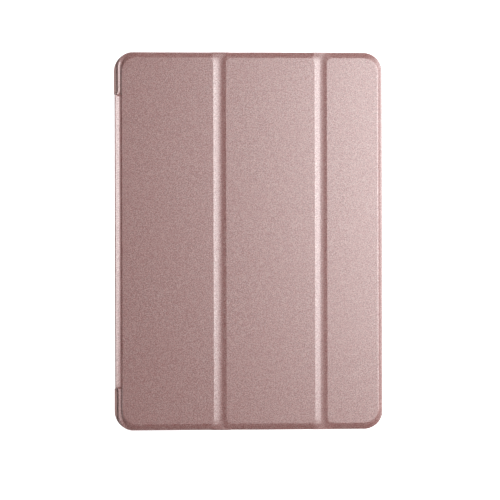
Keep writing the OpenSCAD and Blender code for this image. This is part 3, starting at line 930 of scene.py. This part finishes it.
def spine_cutter(name, right, low, high):
    """Clears the back cover along the spine, as far right as given, between two heights."""
    return block(name, (SHELL_LOW.x - MM, -SPINE_GAP, low), (right, SPINE_GAP, high))


def side_cutter(name, length, width, place):
    """A pill-shaped opening through the wall at a place on the housing's side."""
    return prism(name, pill_points(length * MM, width * MM), -4 * MM, 3 * MM, place)


def shell_cutters():
    top_y, bottom_y, right_x = HOUSING_HIGH.y, -HOUSING_HIGH.y, HOUSING_HIGH.x
    volume_length = VOLUME_SPAN / MM + 5
    lens_outline = pill_points(13 * MM, 13 * MM, 20)
    return [
        prism("cut_camera", lens_outline, -MM, BASE_Z + MM, facing(*CAMERA.xy, 0, "+Z")),
        spine_cutter("cut_spine", SPINE_CUT_X, -MM, ABOVE_COVER_Z),
        spine_cutter("cut_lip", LIP_CUT_X, LIP_CUT_Z, ABOVE_COVER_Z),
        spine_cutter("cut_bed", FLAP_END + 0.2 * MM, -MM, FLAP_T),
        side_cutter("cut_port", 15, 6, facing(PORT.x, bottom_y, PORT.z, "-Y")),
        side_cutter("cut_speaker_left", 32, 4.6, facing(-SPEAKER_X, bottom_y, PORT.z, "-Y")),
        side_cutter("cut_speaker_right", 32, 4.6, facing(SPEAKER_X, bottom_y, PORT.z, "-Y")),
        side_cutter("cut_jack", 7.2, 6.6, facing(JACK.x, top_y, PORT.z, "+Y")),
        side_cutter("cut_power", 17, 5.6, facing(POWER.x, top_y, POWER.z, "+Y")),
        side_cutter("cut_volume", volume_length, 5.6, facing(right_x, VOLUME.y, VOLUME.z, "+X")),
    ]


shell = back_shell()
cut_away(shell, shell_cutters())
ride(shell, "tablet", "shell_plastic", "back_shell")


# ---- The tablet ----


def cover_glass():
    half_w, half_h, r, edge = GLASS_HIGH.x, GLASS_HIGH.y, 10.0 * MM, 0.35 * MM
    rings = [level(rounded(half_w, half_h, r, 14), GLASS_LOW.z)]
    for i in range(6):
        a = math.pi / 2 * i / 5
        inset = edge * (1 - math.cos(a))
        z = GLASS_HIGH.z - edge * (1 - math.sin(a))
        rings.append(level(rounded(half_w - inset, half_h - inset, r - inset, 14), z))
    # A last ring keeps the reflection flat right up to the rounded edge
    inset = edge + 0.3 * MM
    rings.append(level(rounded(half_w - inset, half_h - inset, r - inset, 14), GLASS_HIGH.z))
    glass = loft("front_glass", rings)
    key_low, key_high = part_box("home_button")
    outline = pill_points(key_high.x - key_low.x + 0.4 * MM, key_high.y - key_low.y + 0.4 * MM)
    hole = prism("cut_home", outline, GLASS_LOW.z - MM, GLASS_HIGH.z + MM, facing(*HOME.xy, 0, "+Z"))
    cut_away(glass, [hole])
    return glass


ride(cover_glass(), "tablet", "front_glass", "cover_glass")


def soft_key(name, length, width, depth, dish, place, edge=0.3 * MM):
    """A pill-shaped key with a rounded edge and a dished face, from z = -depth to 0."""
    rings = [level(pill_points(length, width), -depth)]
    for i in range(6):
        a = math.pi / 2 * i / 5
        inset = edge * (1 - math.cos(a))
        rings.append(level(pill_points(length - 2 * inset, width - 2 * inset), -edge * (1 - math.sin(a))))
    for share in (0.85, 0.65, 0.4, 0.18):
        down = dish * (1 - share**2)
        narrow = width * share - edge * 2 * share
        rings.append(level(pill_points(length - width + narrow, narrow), -down))
    return loft(name, rings, place)


def home_key():
    """The home key with its thin metal trim."""
    low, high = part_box("home_button")
    length, width = high.x - low.x, high.y - low.y
    place = facing(*HOME.xy, high.z, "+Z")
    key = soft_key("home_key", length, width, high.z - low.z, 0.22 * MM, place)
    ride(key, "home_key", "home_key", "home_button")
    inner = pill_points(length - 0.9 * MM, width - 0.9 * MM)
    outer = pill_points(length - 0.1 * MM, width - 0.1 * MM)
    rings = [level(outer, -0.2 * MM), level(outer, 0.0), level(inner, 0.01 * MM), level(inner, -0.2 * MM)]
    ride(ring_loft("home_key_trim", rings, place), "home_key", "steel")


home_key()


SIDE_KEY_LENGTH = 10 * MM
SIDE_KEY_WIDTH = 2.6 * MM


def side_key(node, body, towards):
    """A key on the housing's side, as deep as it is wide."""
    low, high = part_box(node)
    middle = (low + high) / 2
    places = {
        "+Y": facing(middle.x, high.y, middle.z, "+Y"),
        "+X": facing(high.x, middle.y, middle.z, "+X"),
    }
    width = depth = SIDE_KEY_WIDTH
    place = places[towards]
    made = soft_key(f"{body}_cap", SIDE_KEY_LENGTH, width, depth, 0.06 * MM, place, 0.35 * MM)
    ride(made, body, "housing_metal", node)


side_key("power_button", "power_key", "+Y")
side_key("volume_up_button", "volume_up_key", "+X")
side_key("volume_down_button", "volume_down_key", "+X")


def round_points(r, steps=48):
    angles = [2 * math.pi * i / steps for i in range(steps)]
    return [(r * math.cos(a), r * math.sin(a)) for a in angles]


def rear_camera_lens():
    """A metal trim ring round a slightly domed glass."""
    low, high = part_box("camera_lens_ring")
    outer_r, inner_r, depth = (high.x - low.x) / 2, 2.6 * MM, high.z - low.z
    rings = [
        level(round_points(outer_r), -depth),
        level(round_points(outer_r), 0.25 * MM),
        level(round_points(outer_r - 0.12 * MM), 0.37 * MM),
        level(round_points(outer_r - 0.4 * MM), 0.4 * MM),
        level(round_points(inner_r + 0.12 * MM), 0.3 * MM),
        level(round_points(inner_r), 0.15 * MM),
        level(round_points(inner_r), -depth),
    ]
    trim = ring_loft("camera_trim", rings, facing(*CAMERA.xy, low.z, "-Z"))
    ride(trim, "tablet", "housing_metal", "camera_lens_ring")
    glass_r = inner_r - 0.05 * MM
    dome = [level(round_points(glass_r), -0.6 * MM)]
    for share in (1, 0.92, 0.8, 0.62, 0.4, 0.18):
        dome.append(level(round_points(glass_r * share), 0.22 * MM * (1 - share**2)))
    lens = loft("camera_lens", dome, facing(*CAMERA.xy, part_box("camera_lens_glass")[0].z, "-Z"))
    ride(lens, "tablet", "lens_glass", "camera_lens_glass")


rear_camera_lens()


def colour_cad_nodes():
    """Gives every CAD node the material of its slot."""
    slot_of = {s["node"]: s["material_slot"] for s in frame["record"]["subparts"]}
    for name, node in frame["nodes"].items():
        node.data.materials.clear()
        node.data.materials.append(MATERIALS[slot_of[name]])


colour_cad_nodes()


# ---- Stage, light and camera ----


FLOOR_DROP = 0.3


def white_floor():
    mesh = bpy.data.meshes.new("floor")
    size = 40.0
    corners = [(-size, -size, 0), (size, -size, 0), (size, size, 0), (-size, size, 0)]
    mesh.from_pydata(corners, [], [(0, 1, 2, 3)])
    floor = bpy.data.objects.new("floor", mesh)
    floor.location.z = cad_low.z - FLOOR_DROP
    bpy.context.scene.collection.objects.link(floor)
    material = bpy.data.materials.new("floor_white")
    material.use_nodes = True
    tree = material.node_tree
    shader = tree.nodes["Principled BSDF"]
    shader.inputs["Base Color"].default_value = (0.85, 0.85, 0.85, 1)
    shader.inputs["Roughness"].default_value = 0.8
    shader.inputs["Emission Color"].default_value = (1, 1, 1, 1)
    shader.inputs["Emission Strength"].default_value = 1.0
    # Seen from below the floor is clear, so that the back can be looked at
    mixed = tree.nodes.new("ShaderNodeMixShader")
    clear = tree.nodes.new("ShaderNodeBsdfTransparent")
    side = tree.nodes.new("ShaderNodeNewGeometry")
    tree.links.new(side.outputs["Backfacing"], mixed.inputs[0])
    tree.links.new(shader.outputs[0], mixed.inputs[1])
    tree.links.new(clear.outputs[0], mixed.inputs[2])
    tree.links.new(mixed.outputs[0], tree.nodes["Material Output"].inputs["Surface"])
    mesh.materials.append(material)


def soft_light(name, place, aim, width, height, power):
    data = bpy.data.lights.new(name, "AREA")
    data.shape = "RECTANGLE"
    data.size, data.size_y = width, height
    data.energy = power
    light = bpy.data.objects.new(name, data)
    light.location = place
    light.rotation_euler = (Vector(aim) - Vector(place)).to_track_quat("-Z", "Y").to_euler()
    bpy.context.scene.collection.objects.link(light)


def studio():
    world = bpy.data.worlds.new("studio")
    world.use_nodes = True
    world.node_tree.nodes["Background"].inputs["Color"].default_value = (1, 1, 1, 1)
    world.node_tree.nodes["Background"].inputs["Strength"].default_value = 0.04
    bpy.context.scene.world = world
    soft_light("key", (0.47, 0.12, 0.76), (0.02, 0, 0), 0.66, 0.65, 7.55)
    soft_light("right", (0.82, 0.4, 0.32), (0.02, 0, 0), 0.5, 0.3, 1.0)
    soft_light("left", (-0.85, -0.1, 0.06), (0, 0, 0), 0.5, 0.25, 0.4)


def camera():
    """Straight above, leaning a little to the left, at the distance of a short telephoto lens."""
    distance = 1.0
    lean, roll = math.radians(2.8), math.radians(0.14)
    seen_h, frame_share = cad_high.y - cad_low.y, 0.761
    data = bpy.data.cameras.new("camera")
    data.sensor_width = 36
    data.lens = data.sensor_width * frame_share * (distance - TOP_Z * 0.5) / seen_h
    made = bpy.data.objects.new("camera", data)
    aim = Vector((0.8 * MM, -5.6 * MM, TOP_Z))
    made.location = aim + Vector((-math.sin(lean), 0, math.cos(lean))) * distance
    made.rotation_euler = (0, -lean, -roll)
    data.clip_start, data.clip_end = 0.01, 20
    bpy.context.scene.collection.objects.link(made)
    bpy.context.scene.camera = made


white_floor()
studio()
camera()
bpy.context.scene.view_settings.view_transform = "Standard"
